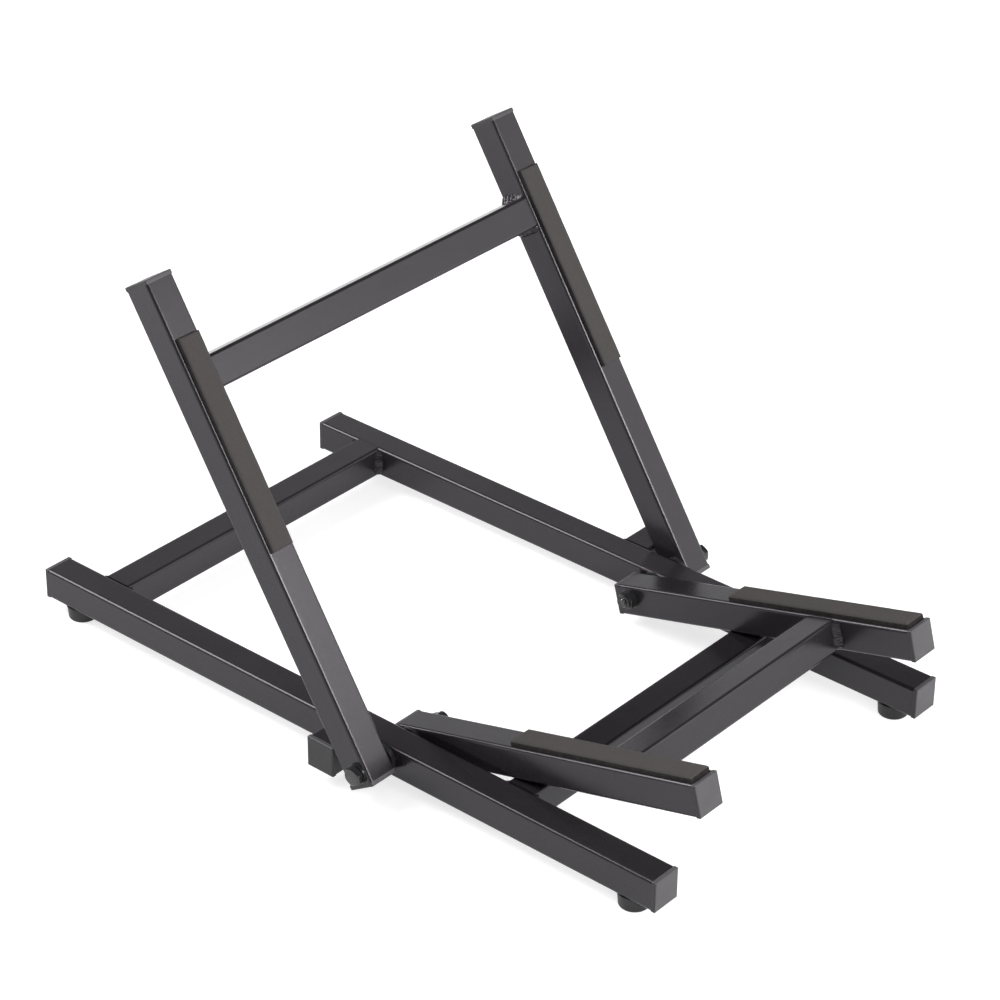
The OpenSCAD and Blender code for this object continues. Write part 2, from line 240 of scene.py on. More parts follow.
def fade(tree, value, start, stop, first, last):
    """Runs from the first to the last number as a value goes from start to stop."""
    node = tree.nodes.new("ShaderNodeMapRange")
    marks = {"From Min": start, "From Max": stop, "To Min": first, "To Max": last}
    for name, number in marks.items():
        node.inputs[name].default_value = number
    tree.links.new(value, node.inputs["Value"])
    return node.outputs["Result"]


class Nodes:
    """A new material's node tree, with short ways to add and link nodes."""

    def __init__(self, name):
        self.material = bpy.data.materials.new(name)
        self.material.use_nodes = True
        self.tree = self.material.node_tree
        self.shader = self.tree.nodes["Principled BSDF"]
        coords = self.tree.nodes.new("ShaderNodeTexCoord")
        self.place = coords.outputs["Object"]
        self.normal = coords.outputs["Normal"]

    def link(self, output, node, socket):
        self.tree.links.new(output, node.inputs[socket])

    def noise(self, size, detail, roughness=0.5):
        """Noise with lumps of about this size."""
        node = self.tree.nodes.new("ShaderNodeTexNoise")
        node.inputs["Scale"].default_value = 1.0 / size
        node.inputs["Detail"].default_value = detail
        node.inputs["Roughness"].default_value = roughness
        self.link(self.place, node, "Vector")
        return node.outputs["Fac"]

    def fit(self, value, first, last, start=0.3, stop=0.7):
        """Stretches a value, by default of noise, so that it runs from first to last."""
        return fade(self.tree, value, start, stop, first, last)

    def sideways(self):
        """1 on faces that point to the left or right and 0 on the others."""
        parts = self.tree.nodes.new("ShaderNodeSeparateXYZ")
        self.link(self.normal, parts, "Vector")
        return self.fit(work_out(self.tree, "ABSOLUTE", parts.outputs["X"]), 0.0, 1.0, 0.4, 0.9)

    def mix(self, factor, first, second):
        """Mixes two colours; each may be an output or a fixed colour."""
        node = self.tree.nodes.new("ShaderNodeMix")
        node.data_type = "RGBA"
        self.link(factor, node, "Factor")
        for socket, tint in (("A", first), ("B", second)):
            slot = next(s for s in node.inputs if s.name == socket and s.type == "RGBA")
            if isinstance(tint, bpy.types.NodeSocket):
                self.tree.links.new(tint, slot)
            else:
                slot.default_value = (*tint, 1.0)
        return next(s for s in node.outputs if s.type == "RGBA")

    def mottle(self, patches, tint, dark, pale):
        """Varies a colour, by noise, between a darker and a paler share of it."""
        return self.mix(self.fit(patches, 0.0, 1.0), tinted(tint, dark), tinted(tint, pale))

    def paint(self, tint):
        self.link(tint, self.shader, "Base Color")

    def set(self, **constants):
        """Sets sockets of the shader that are the same all over."""
        for name, value in constants.items():
            self.shader.inputs[name.replace("_", " ")].default_value = value

    def bump(self, height, distance):
        """Bumps of this depth, in metres."""
        node = self.tree.nodes.new("ShaderNodeBump")
        node.inputs["Distance"].default_value = distance
        self.link(height, node, "Height")
        self.link(node.outputs["Normal"], self.shader, "Normal")


def tinted(rgb, factor):
    """A colour made lighter or darker."""
    return tuple(min(1.0, part * factor) for part in rgb)


def powder_coat(look, name="powder_coat"):
    """Satin black powder coat: orange peel, a fine grain and slightly uneven gloss."""
    nodes = Nodes(name)
    nodes.paint(nodes.mottle(nodes.noise(60 * MM, detail=4.0), look.coat, 0.9, 1.1))
    patch = nodes.noise(25 * MM, detail=5.0, roughness=0.6)
    rough = look.coat_roughness
    nodes.link(nodes.fit(patch, rough - 0.03, rough + 0.04), nodes.shader, "Roughness")
    peel = nodes.fit(nodes.noise(3.5 * MM, detail=1.0), 0.0, 0.6)
    grain = nodes.fit(nodes.noise(look.coat_grain, detail=2.0), 0.0, 0.4)
    nodes.bump(work_out(nodes.tree, "ADD", peel, grain), 0.03 * MM)
    nodes.set(Specular_IOR_Level=0.42, Specular_Tint=(1.0, 0.965, 1.02, 1.0))
    return nodes.material


def cap_plastic(look):
    """Moulded polyethylene, its faces that point left or right darkened to half its colour as
    painted shade.
    """
    nodes = Nodes("cap_plastic")
    tint = nodes.mottle(nodes.noise(12 * MM, detail=3.0), look.plastic, 0.92, 1.1)
    # Painted shade: faces that point left or right get half the cap colour
    nodes.paint(nodes.mix(nodes.sideways(), tint, tinted(look.plastic, 0.5)))
    patch = nodes.noise(6 * MM, detail=4.0)
    rough = look.plastic_roughness
    nodes.link(nodes.fit(patch, rough - 0.04, rough + 0.05), nodes.shader, "Roughness")
    nodes.bump(nodes.noise(0.4 * MM, detail=2.0), 0.03 * MM)
    nodes.set(Specular_IOR_Level=0.35)
    return nodes.material


def strip_side_rubber(look):
    """Cut side of the rubber, darker than its face by painted shade, and rougher."""
    nodes = Nodes("strip_side_rubber")
    nodes.paint(nodes.mottle(nodes.noise(4 * MM, detail=4.0), look.strip_side_shade, 0.7, 1.5))
    nodes.bump(nodes.noise(0.5 * MM, detail=3.0), 0.1 * MM)
    nodes.set(Roughness=0.8, Specular_IOR_Level=0.25)
    return nodes.material


def strip_rubber(look):
    """Dull rubber strip with faint reddish and olive stains and a fine grain."""
    nodes = Nodes("strip_rubber")
    cloud = nodes.noise(22 * MM, detail=3.0, roughness=0.6)
    tint = nodes.mix(nodes.fit(cloud, 0.0, 1.0), look.strip, look.strip_stain)
    dust = nodes.noise(2 * MM, detail=4.0)
    nodes.paint(nodes.mix(nodes.fit(dust, 0.0, 0.5), tint, tinted(look.strip, 1.25)))
    nodes.bump(nodes.noise(0.8 * MM, detail=3.0), 0.06 * MM)
    nodes.set(Roughness=0.8, Specular_IOR_Level=0.25)
    return nodes.material


def foot_rubber(look):
    """Solid moulded rubber."""
    nodes = Nodes("foot_rubber")
    nodes.paint(nodes.mottle(nodes.noise(8 * MM, detail=3.0), look.foot, 0.8, 1.4))
    nodes.bump(nodes.noise(0.6 * MM, detail=2.0), 0.04 * MM)
    nodes.set(Roughness=0.5)
    return nodes.material


def black_zinc(look):
    """Black zinc plating, glossy, with duller patches."""
    nodes = Nodes("black_zinc")
    nodes.paint(nodes.mottle(nodes.noise(3 * MM, detail=4.0), look.zinc, 0.8, 1.3))
    patch = nodes.noise(1.5 * MM, detail=4.0)
    nodes.link(nodes.fit(patch, 0.16, 0.28), nodes.shader, "Roughness")
    nodes.bump(nodes.noise(0.3 * MM, detail=2.0), 0.006 * MM)
    nodes.set(Specular_IOR_Level=0.7)
    return nodes.material


def plain_nylon(name, tint):
    """Turned nylon."""
    nodes = Nodes(name)
    nodes.paint(nodes.mottle(nodes.noise(4 * MM, detail=3.0), tint, 0.85, 1.2))
    nodes.bump(nodes.noise(0.4 * MM, detail=2.0), 0.02 * MM)
    nodes.set(Roughness=0.45)
    return nodes.material


def dress(material, names):
    """Gives CAD nodes a material."""
    for name in names:
        CAD[name].material_slots[0].material = material


def slot_nodes(slot):
    """The CAD nodes whose record names this material slot."""
    return [part["node"] for part in frame["record"]["subparts"] if part["material_slot"] == slot]


# ---- Modelling ----


def settle(piece):
    """Moves a piece's place into its mesh."""
    bpy.ops.object.select_all(action="DESELECT")
    piece.select_set(True)
    bpy.context.view_layer.objects.active = piece
    bpy.ops.object.transform_apply(location=True, rotation=True, scale=True)
    return piece


def rod(corners, radius, start, end, spot=(0, 0, 0)):
    """A cylinder along Z from start to end."""
    bpy.ops.object.select_all(action="DESELECT")
    bpy.ops.mesh.primitive_cylinder_add(
        vertices=corners,
        radius=radius,
        depth=end - start,
        location=(spot[0], spot[1], spot[2] + (start + end) / 2),
    )
    return settle(bpy.context.object)


def block(width, depth, height, spot=(0, 0, 0)):
    """A box about a spot."""
    bpy.ops.object.select_all(action="DESELECT")
    bpy.ops.mesh.primitive_cube_add(size=1.0, location=spot, scale=(width, depth, height))
    return settle(bpy.context.object)


def pick(piece, kind, test):
    """Selects what passes a test: points by place, edges by ends, faces by middle and normal."""
    bpy.ops.mesh.select_mode(type=kind)
    bpy.ops.mesh.select_all(action="DESELECT")
    shape = bmesh.from_edit_mesh(piece.data)
    if kind == "VERT":
        for point in shape.verts:
            if test(point.co):
                point.select_set(True)
    elif kind == "EDGE":
        for edge in shape.edges:
            if test(edge.verts[0].co, edge.verts[1].co):
                edge.select_set(True)
    else:
        for face in shape.faces:
            if test(face.calc_center_median(), face.normal):
                face.select_set(True)
    shape.select_flush_mode()
    bmesh.update_edit_mesh(piece.data)


def extrude(rise, factor):
    """Extrudes the selected face by a rise and resizes it about the Z axis."""
    bpy.ops.mesh.extrude_region_move(TRANSFORM_OT_translate={"value": (0, 0, rise)})
    bpy.ops.transform.resize(value=(factor, factor, 1), center_override=(0, 0, 0))


def cut_off(spot, normal):
    """Cuts away what lies behind a plane and closes the cut."""
    bpy.ops.mesh.select_all(action="SELECT")
    bpy.ops.mesh.bisect(plane_co=spot, plane_no=normal, use_fill=True, clear_inner=True)


def drop_flakes(piece):
    """Keeps the closed skin with the largest face and deletes the flakes that cuts left on it."""
    shape = bmesh.from_edit_mesh(piece.data)
    skin, ahead = set(), [max(shape.faces, key=lambda face: face.calc_area())]
    while ahead:
        face = ahead.pop()
        if face not in skin:
            skin.add(face)
            for edge in face.edges:
                if len(edge.link_faces) == 2:
                    ahead += edge.link_faces
    flakes = [face for face in shape.faces if face not in skin]
    bmesh.ops.delete(shape, geom=flakes, context="FACES")
    bmesh.update_edit_mesh(piece.data)


def apply(piece, kind, **settings):
    """Adds a modifier, sets it and applies it."""
    bpy.ops.object.select_all(action="DESELECT")
    piece.select_set(True)
    bpy.context.view_layer.objects.active = piece
    modifier = piece.modifiers.new(kind.lower(), kind)
    for name, value in settings.items():
        setattr(modifier, name, value)
    bpy.ops.object.modifier_apply(modifier=modifier.name)


def roughen(piece, lump, height, direction="NORMAL", group=""):
    """Displaces a surface by cloudy noise."""
    clouds = bpy.data.textures.new("clouds", "CLOUDS")
    clouds.noise_scale = lump
    clouds.noise_depth = 2
    apply(
        piece,
        "DISPLACE",
        texture=clouds,
        strength=height,
        mid_level=0.5,
        direction=direction,
        vertex_group=group,
    )
    bpy.data.textures.remove(clouds)


def keep_shared(piece, cutter):
    """Keeps what two shapes share."""
    apply(piece, "BOOLEAN", operation="INTERSECT", solver="EXACT", object=cutter)
    bpy.data.objects.remove(cutter)


def cut_with(piece, cutter):
    """Cuts one shape out of another."""
    apply(piece, "BOOLEAN", operation="DIFFERENCE", solver="EXACT", object=cutter)
    bpy.data.objects.remove(cutter)


def face_outwards(piece):
    """Turns a piece's faces outwards."""
    bpy.context.view_layer.objects.active = piece
    bpy.ops.object.mode_set(mode="EDIT")
    bpy.ops.mesh.select_all(action="SELECT")
    bpy.ops.mesh.normals_make_consistent(inside=False)
    bpy.ops.object.mode_set(mode="OBJECT")
    return piece


def join(pieces):
    """Makes one piece of several."""
    bpy.ops.object.select_all(action="DESELECT")
    for piece in pieces:
        piece.select_set(True)
    bpy.context.view_layer.objects.active = pieces[0]
    bpy.ops.object.join()
    return pieces[0]


def copy_to(pattern, spot, x_axis, y_axis, z_axis):
    """Copies a piece, with its own mesh, to a spot and a set of axes."""
    bpy.ops.object.select_all(action="DESELECT")
    pattern.select_set(True)
    bpy.context.view_layer.objects.active = pattern
    bpy.ops.object.duplicate(linked=False)
    copy = bpy.context.object
    turn = Matrix((x_axis, y_axis, z_axis)).transposed().to_4x4()
    copy.matrix_world = Matrix.Translation(spot) @ turn
    return settle(copy)


def hand_in(piece, name, material, body, slot, *nodes, smooth=35.0):
    """Names, shades and coats a finished piece, hangs it on its body and hides the nodes it
    replaces.
    """
    bpy.ops.object.select_all(action="DESELECT")
    piece.select_set(True)
    bpy.context.view_layer.objects.active = piece
    bpy.ops.object.shade_smooth_by_angle(angle=math.radians(smooth))
    piece.name = name
    piece.data.name = name
    piece.data.materials.clear()
    piece.data.materials.append(material)
    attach(piece, body)
    if nodes:
        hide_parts(*nodes)


# ---- Pieces ----


class STAND_OT_lay_weld_beads(bpy.types.Operator):
    """Lay the rippled weld beads"""

    bl_idname = "stand.lay_weld_beads"
    bl_label = "Lay the weld beads"

    RINGS = 46
    CORNERS = 120
    # Leg of the left upright's beads, as a share of the others'
    SMALL = 0.35
    # Middle of a bead's round face behind its corner, in legs
    INSET = 0.8
    # How much of its height a bead loses towards its ends, and how late it does so
    DROP = 0.85
    DROP_POWER = 8
    # Range of the ripples' uneven heights, and of the lumps' width in millimetres
    UNEVEN = (0.95, 1.05)
    LUMPS = (1.5, 2.2)
    # How deep a bead reaches into both tubes
    SUNK = 0.05 * MM
    # Side of the ground weld, its distance from both edges of the bar, and how far it dips
    FILL_SIDE = 2.5 * MM
    FILL_INSET = 2 * MM
    FILL_DIP = 0.06 * MM
    # Share of the ground weld's width that dips
    FILL_DIP_WIDTH = 0.9

    def execute(self, context):
        sizes = context.scene.stand_pieces
        coat = powder_coat(context.scene.stand_finish, "bead_coat")
        self.chance = random.Random(11)
        base = []
        for side in SIDES.values():
            for bar in ("front_crossbar", "rear_crossbar"):
                spot = Vector((side * RAIL_IN, middle(bar).y, middle(bar).z))
                base += self.pair(sizes, spot, -side * ACROSS, BACKWARDS, sizes.bead_leg)
            stub = middle("right_stop_stub")
            spot = Vector((side * RAIL_OUT, stub.y, stub.z))
            base += self.pair(sizes, spot, side * ACROSS, BACKWARDS, sizes.stub_bead_leg)
        base.append(self.fill_groove(middle("rear_crossbar").y, high("right_rail").z))
        hand_in(join(base), "base_weld_beads", coat, "base", "black_steel", "base_welds")
        back, arms = [], []
        for side in SIDES.values():
            bar = middle("backrest_crossbar")
            spot = Vector((side * UPRIGHT_IN, bar.y, bar.z))
            leg, swell = sizes.bead_leg, sizes.bead_swell
            if side < 0:
                leg, swell = self.SMALL * leg, 0
            back += self.pair(sizes, spot, -side * ACROSS, -BACK_UP, leg, swell)
            bar = middle("arm_crossbar")
            spot = Vector((side * ARM_IN, bar.y, bar.z))
            arms += self.pair(sizes, spot, -side * ACROSS, ARM_AHEAD, sizes.bead_leg)
        hand_in(
            join(back), "backrest_weld_beads", coat, "backrest", "black_steel", "backrest_welds"
        )
        hand_in(join(arms), "arm_weld_beads", coat, "support", "black_steel", "arm_welds")
        return {"FINISHED"}

    def fill_groove(self, place, top):
        """Ground weld in the groove between the right rail's rounded edge and a bar's end."""
        side = self.FILL_SIDE
        run = TUBE - 2 * self.FILL_INSET
        fill = block(side, run, side, (RAIL_IN + side / 2, place, top - side / 2))
        bpy.ops.object.mode_set(mode="EDIT")
        cut_off((RAIL_IN, 0, top - side), (-1, 0, 1))
        pick(fill, "EDGE", lambda start, end: abs(start.y - end.y) > run / 2)
        bpy.ops.mesh.subdivide(number_cuts=9)
        crest = lambda point: point.z > top - HAIR
        pick(fill, "EDGE", lambda a, b: crest(a) and crest(b) and abs(a.x - b.x) > side / 2)
        bpy.ops.mesh.subdivide(number_cuts=3)
        inner = RAIL_IN + self.FILL_DIP_WIDTH * side
        pick(fill, "VERT", lambda point: crest(point) and point.x < inner)
        bpy.ops.transform.translate(value=(0, 0, -self.FILL_DIP))
        bpy.ops.object.mode_set(mode="OBJECT")
        return fill

    def pair(self, sizes, spot, out, along, leg, swell=0):
        """Beads on both sides of a bar at a spot on a tube; the second may grow to the rear."""
        pattern = self.model(sizes, leg)
        beads = []
        for way in (along, -along):
            corner = spot + way * TUBE / 2
            first, second = self.chance.sample((out, way), 2)
            run = second.cross(first)
            if swell and way is not along:
                apply(
                    pattern,
                    "SIMPLE_DEFORM",
                    deform_method="TAPER",
                    deform_axis="Y",
                    factor=-math.copysign(swell, run.dot(BACK_OUT)),
                )
            beads.append(copy_to(pattern, corner, first, run, second))
        bpy.data.objects.remove(pattern)
        return beads

    def model(self, sizes, leg):
        """A bead along Y in the corner between the X and Z axes."""
        run = TUBE - 2 * sizes.bead_edge
        inset = self.INSET * leg
        radius = math.hypot(leg + inset, inset)
        bead = rod(self.CORNERS, radius, -run / 2, run / 2)
        bead.rotation_euler = (math.pi / 2, 0, 0)
        bead.location = (-inset, 0, -inset)
        settle(bead)
        bpy.ops.object.mode_set(mode="EDIT")
        pick(bead, "EDGE", lambda start, end: abs(start.y - end.y) > run / 2)
        bpy.ops.mesh.subdivide(number_cuts=self.RINGS - 1)
        step = run / self.RINGS
        root = inset * math.sqrt(2)
        phase = self.chance.uniform(0, 6)
        scale = leg / sizes.bead_leg
        for ring in range(self.RINGS + 1):
            place = -run / 2 + ring * step
            spread = abs(2 * place / run)
            crest = (radius - root) * (1 - self.DROP * spread**self.DROP_POWER)
            ripple = math.sin(phase + math.tau * place / sizes.bead_ripple)
            crest += scale * sizes.bead_wave / 2 * ripple
            crest *= self.chance.uniform(*self.UNEVEN)
            factor = (root + crest) / radius
            pick(bead, "VERT", lambda point: abs(point.y - place) < step / 4)
            bpy.ops.transform.resize(
                value=(factor, 1, factor), center_override=(-inset, place, -inset)
            )
        bpy.ops.object.mode_set(mode="OBJECT")
        lump = self.chance.uniform(*self.LUMPS) * MM
        roughen(bead, lump, sizes.bead_lumps * scale)
        bpy.ops.object.mode_set(mode="EDIT")
        cut_off((-self.SUNK, 0, 0), (1, 0, 0))
        cut_off((0, 0, -self.SUNK), (0, 0, 1))
        drop_flakes(bead)
        bpy.ops.object.mode_set(mode="OBJECT")
        return face_outwards(bead)


class STAND_OT_make_pivot_bolts(bpy.types.Operator):
    """Make the pivot bolts with chamfered heads and threaded tips"""

    bl_idname = "stand.make_pivot_bolts"
    bl_label = "Make the pivot bolts"

    # Length of the threaded tip, the least length of its plain end, and how far that narrows
    TIP = 5 * MM
    PLAIN = 0.8 * MM
    NARROW = 0.94
    # Depth of the thread across the bolt, run of a flank and run of a crest, in pitches
    DEPTH = 1.1
    FLANK = 0.42
    CREST = 0.16
    # Radius of the head's flat face and of its collar, in widths across the flats
    FACE = 0.475
    COLLAR = 0.46
    # Slope of the head's turned corners
    CHAMFER = math.radians(30)

    def execute(self, context):
        sizes = context.scene.stand_pieces
        zinc = black_zinc(context.scene.stand_finish)
        bolt = self.model(sizes)
        place = middle("right_pivot_bolt")
        for side, way in SIDES.items():
            spot = Vector((0, place.y, place.z))
            # The axes are left-handed, which turns the copy inside out
            copy = face_outwards(copy_to(bolt, spot, BACKWARDS * -way, UPWARDS, ACROSS * way))
            node = f"{side}_pivot_bolt"
            hand_in(copy, f"{node}_threaded", zinc, "base", "black_hardware", node, smooth=25.0)
        bpy.data.objects.remove(bolt)
        return {"FINISHED"}

    def model(self, sizes):
        """A bolt along Z, its head at the upper end."""
        seat = high("plain_washers").x
        top = high("right_pivot_bolt").x
        tip = low("right_pivot_bolt").x
        head = self.model_head(sizes, seat, top)
        shank = rod(48, sizes.bolt / 2, tip + self.TIP, seat + 1 * MM)
        bpy.ops.object.mode_set(mode="EDIT")
        pick(shank, "FACE", lambda spot, normal: normal.z < -ALONG)
        root = 1 - self.DEPTH * sizes.thread / sizes.bolt
        turns = int((self.TIP - self.PLAIN) / sizes.thread)
        for _ in range(turns):
            extrude(-self.FLANK * sizes.thread, root)
            extrude(-self.FLANK * sizes.thread, 1 / root)
            extrude(-self.CREST * sizes.thread, 1)
        extrude(turns * sizes.thread - self.TIP, self.NARROW * root)
        bpy.ops.mesh.inset(thickness=0.5 * MM, depth=-0.15 * MM)
        bpy.ops.object.mode_set(mode="OBJECT")
        return join([head, shank])

    def model_head(self, sizes, seat, top):
        """Hexagon with its corners turned off, on a round collar."""
        corner = sizes.bolt_flats / 2 / math.cos(math.pi / 6)
        flat = self.FACE * sizes.bolt_flats
        head = rod(6, corner, seat + sizes.bolt_collar, top)
        bpy.ops.object.select_all(action="DESELECT")
        depth = top - seat
        bpy.ops.mesh.primitive_cone_add(
            vertices=96,
            radius1=flat + depth / math.tan(self.CHAMFER),
            radius2=flat,
            depth=depth,
            location=(0, 0, (seat + top) / 2),
        )
        keep_shared(head, settle(bpy.context.object))
        apply(
            head,
            "BEVEL",
            width=sizes.bolt_edge,
            segments=2,
            limit_method="ANGLE",
            angle_limit=math.radians(28),
        )
        lap = 0.2 * MM
        collar = rod(64, self.COLLAR * sizes.bolt_flats, seat, seat + sizes.bolt_collar + lap)
        return join([head, collar])


class STAND_OT_make_foot_screws(bpy.types.Operator):
    """Make the feet's pan head screws with a cross recess"""

    bl_idname = "stand.make_foot_screws"
    bl_label = "Make the foot screws"

    # Turn from one screw to the next, in radians
    TURN = 0.7
    # Rounding of the head's edge
    ROUNDING = 0.8 * MM
    # Width of the cross's arms, as a share of the cross, and the cross's depth and taper
    CROSS_ARM = 0.26
    CROSS_DEPTH = 1.5 * MM
    CROSS_TAPER = (0.5, 0.6, 1)
    # Length of the point, and its blunt end as a share of the screw
    POINT = 2 * MM
    BLUNT = 0.1

    def execute(self, context):
        sizes = context.scene.stand_pieces
        screw = self.model(sizes)
        copies = []
        for foot in slot_nodes("foot_rubber"):
            spot = Vector((middle(foot).x, middle(foot).y, 0))
            turn = self.TURN * len(copies)
            aside = Vector((math.cos(turn), math.sin(turn), 0))
            copies.append(copy_to(screw, spot, aside, UPWARDS.cross(aside), UPWARDS))
        bpy.data.objects.remove(screw)
        zinc = black_zinc(context.scene.stand_finish)
        hand_in(join(copies), "foot_cross_screws", zinc, "base", "black_hardware", "foot_screws")
        return {"FINISHED"}

    def model(self, sizes):
        """A screw along Z, its head at the lower end."""
        bottom, top = low("foot_screws").z, high("foot_screws").z
        seat = bottom + sizes.screw_head_height
        head = rod(48, sizes.screw_head / 2, bottom, seat)
        bpy.ops.object.mode_set(mode="EDIT")
        pick(head, "EDGE", lambda start, end: max(start.z, end.z) < bottom + HAIR)
        bpy.ops.mesh.bevel(offset=self.ROUNDING, segments=5)
        bpy.ops.object.mode_set(mode="OBJECT")
        wide, narrow = sizes.screw_cross, self.CROSS_ARM * sizes.screw_cross
        for turn in (0, math.pi / 2):
            slot = block(wide, narrow, 2 * self.CROSS_DEPTH, (0, 0, bottom))
            bpy.ops.object.mode_set(mode="EDIT")
            pick(slot, "FACE", lambda spot, normal: normal.z > ALONG)
            bpy.ops.transform.resize(value=self.CROSS_TAPER, center_override=(0, 0, bottom))
            bpy.ops.object.mode_set(mode="OBJECT")
            slot.rotation_euler = (0, 0, turn)
            cut_with(head, settle(slot))
        shank = rod(32, sizes.screw / 2, seat - 0.5 * MM, top - self.POINT)
        bpy.ops.object.mode_set(mode="EDIT")
        pick(shank, "FACE", lambda spot, normal: normal.z > ALONG)
        extrude(self.POINT, self.BLUNT)
        bpy.ops.object.mode_set(mode="OBJECT")
        return join([head, shank])


class STAND_OT_cut_strips(bpy.types.Operator):
    """Cut the rubber strips and stick them on"""

    bl_idname = "stand.cut_strips"
    bl_label = "Cut the rubber strips"

    # Share of the largest skew that each strip has
    SKEWS = {"left_back": 1.0, "right_back": -0.3, "left_arm": 0.4, "right_arm": -0.5}
    SPANS = {"back": (BACK_UP, BACK_OUT, "backrest"), "arm": (ARM_AHEAD, ARM_OUT, "support")}
    # Width of the waves in the cut edges and in the face
    EDGE_WAVE = 14 * MM
    FACE_WAVE = 9 * MM
    # Faces turned further from the wearing face than this cosine are cut sides, which get the
    # painted shade
    SIDE_LIMIT = 0.4

    def execute(self, context):
        sizes = context.scene.stand_pieces
        rubber = strip_rubber(context.scene.stand_finish)
        dark = strip_side_rubber(context.scene.stand_finish)
        for name, share_of_skew in self.SKEWS.items():
            side, place = name.split("_")
            along, out, body = self.SPANS[place]
            node = f"{name}_strip"
            size = high(node) - low(node)
            length_along = self.true_length(size, along, out)
            thick = self.thickness(node, side, place, out)
            skew = sizes.strip_skew * share_of_skew
            strip = self.model(sizes, size.x, length_along, thick, skew)
            copy = copy_to(strip, middle(node), along.cross(out), along, out)
            bpy.data.objects.remove(strip)
            hand_in(copy, f"{name}_rubber", rubber, body, "strip_rubber", node)
            # The cut sides take the dark material as painted shade
            copy.data.materials.append(dark)
            for face in copy.data.polygons:
                face.material_index = 1 if abs(face.normal.dot(out)) < self.SIDE_LIMIT else 0
        return {"FINISHED"}

    @staticmethod
    def true_length(size, along, out):
        """Length of a turned strip whose box is along * length + out * thickness on Y and Z."""
        along_y, along_z = abs(along.y), abs(along.z)
        out_y, out_z = abs(out.y), abs(out.z)
        return (size.y * out_z - size.z * out_y) / (along_y * out_z - out_y * along_z)

    @staticmethod
    def thickness(node, side, place, out):
        """A strip's thickness: twice the distance from its middle to its mount's face."""
        face = Vector(MOUNTS[f"{place}_rest_{side}"]["pos_m"])
        return 2 * (face - middle(node)).dot(out)

    def model(self, sizes, width, run, thick, skew):
        """A strip along Y, its wearing face up, with slightly wavering edges."""
        strip = block(width, run, thick)
        bpy.ops.object.mode_set(mode="EDIT")
        pick(strip, "EDGE", lambda start, end: abs(start.y - end.y) > run / 2)
        bpy.ops.mesh.subdivide(number_cuts=65)
        pick(strip, "EDGE", lambda start, end: abs(start.x - end.x) > width / 2)
        bpy.ops.mesh.subdivide(number_cuts=7)
        pick(strip, "EDGE", lambda start, end: abs(start.z - end.z) > thick / 2)
        bpy.ops.mesh.subdivide(number_cuts=1)
        rim = lambda point: (
            abs(abs(point.x) - width / 2) < HAIR or abs(abs(point.y) - run / 2) < HAIR
        )
        top = lambda point: abs(point.z - thick / 2) < HAIR
        pick(strip, "EDGE", lambda a, b: rim(a) and rim(b) and top(a) and top(b))
        bpy.ops.mesh.bevel(offset=sizes.strip_edge, segments=5)
        bpy.ops.mesh.select_all(action="SELECT")
        bpy.ops.transform.rotate(value=skew, orient_axis="Z", center_override=(0, 0, 0))
        bpy.ops.object.mode_set(mode="OBJECT")
        roughen(strip, self.EDGE_WAVE, sizes.strip_waver, "X")
        above = strip.vertex_groups.new(name="above")
        above.add([v.index for v in strip.data.vertices if v.co.z > 0], 1.0, "REPLACE")
        roughen(strip, self.FACE_WAVE, sizes.strip_waver / 2, "Z", "above")
        return strip


class STAND_OT_coat_steel(bpy.types.Operator):
    """Coat the tubes"""

    bl_idname = "stand.coat_steel"
    bl_label = "Coat the tubes"

    def execute(self, context):
        dress(powder_coat(context.scene.stand_finish), slot_nodes("black_steel"))
        return {"FINISHED"}


class STAND_OT_finish_caps(bpy.types.Operator):
    """Finish the end caps"""

    bl_idname = "stand.finish_caps"
    bl_label = "Finish the end caps"

    def execute(self, context):
        dress(cap_plastic(context.scene.stand_finish), slot_nodes("black_plastic"))
        return {"FINISHED"}


class STAND_OT_finish_feet(bpy.types.Operator):
    """Finish the rubber feet"""

    bl_idname = "stand.finish_feet"
    bl_label = "Finish the rubber feet"

    def execute(self, context):
        dress(foot_rubber(context.scene.stand_finish), slot_nodes("foot_rubber"))
        return {"FINISHED"}


class STAND_OT_finish_hardware(bpy.types.Operator):
    """Finish the bolts, nuts, washers, screws and spacers"""

    bl_idname = "stand.finish_hardware"
    bl_label = "Finish the hardware"

    def execute(self, context):
        look = context.scene.stand_finish
        dress(black_zinc(look), slot_nodes("black_hardware"))
        dress(plain_nylon("spacer_nylon", look.nylon), slot_nodes("spacer_nylon"))
        dress(plain_nylon("nut_insert", look.insert), slot_nodes("nut_insert"))
        return {"FINISHED"}


# ---- Stage ----

# The floor's own glow beside the stand, and the distances from the middle between which it grows
# to 1, which shows white
NEAR_GLOW = 0.6
GLOW_START = 0.6
GLOW_END = 1.3
# How much paler the camera sees the floor's shadows than reflections do
SHADOW_LIFT = 0.15
# Heights over the horizon, as sines, between which the reflected backdrop fades out
BACKDROP_START = 0.02
BACKDROP_END = 0.12
# Light that reaches the object from the studio around the lamps
STUDIO_LEVEL = 0.08
# Lamp that glints only in the backrest and the hardware, because the flat tops of the base and the
# arms would glare with it from behind
FRONT_BOX = "front_box"
GLINTING = ("upright", "back", "bolt", "nut", "washer")
